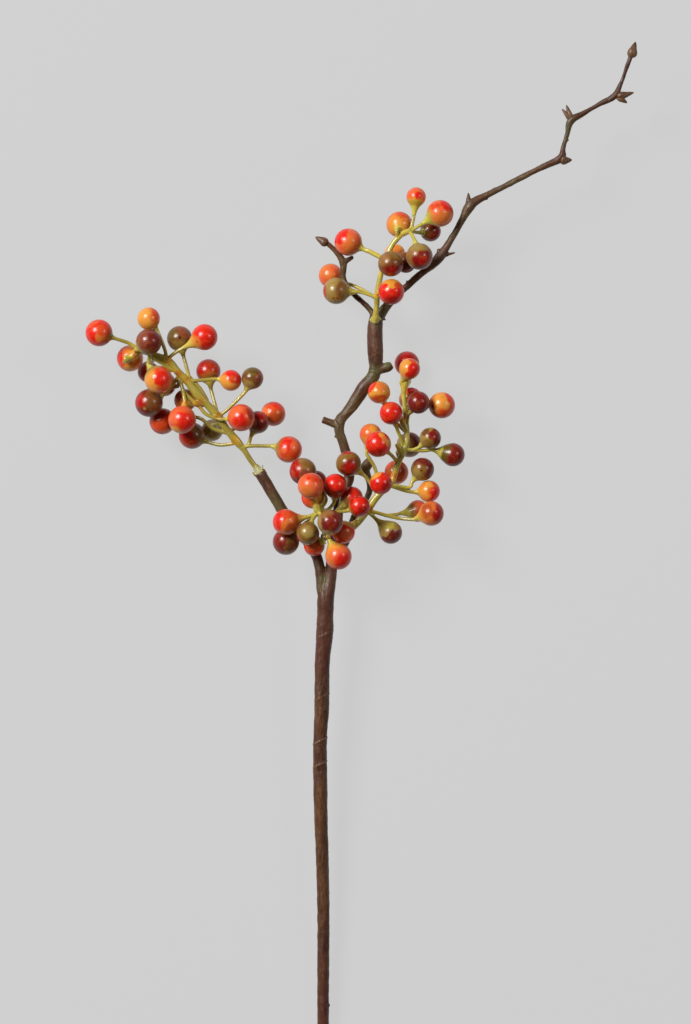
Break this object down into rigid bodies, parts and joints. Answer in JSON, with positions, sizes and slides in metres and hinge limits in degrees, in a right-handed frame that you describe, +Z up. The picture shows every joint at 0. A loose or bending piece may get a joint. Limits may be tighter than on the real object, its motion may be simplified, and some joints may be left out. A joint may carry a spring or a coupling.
{
  "type": "rowan berry sprig",
  "caption": "Cut rowan sprig: a forked woody stem with budded twigs and bunches of glossy red, orange and olive berries on green stalks.",
  "frame": {"origin": "under the stem on the plane it lies on, just in from the slanted cut at its lower end", "axes": "+Y along the stem from the cut end to the budded tip, +Z up out of the plane the sprig lies on, +X to the right as seen from above"},
  "size_m": [0.2206, 0.4518, 0.043],
  "materials": {
    "bark": "matt brown bark with green tints",
    "berry_skin": "glossy red, orange, olive and maroon skin",
    "green_stalk": "glossy yellow-green stalk, orange-brown at its joints"
  },
  "bodies": {
    "root": {"woody_stem": "bark", "left_berry_cluster": "berry_skin", "front_berry_cluster": "berry_skin", "right_berry_cluster": "berry_skin", "top_berry_cluster": "berry_skin"}
  },
  "joints": []
}
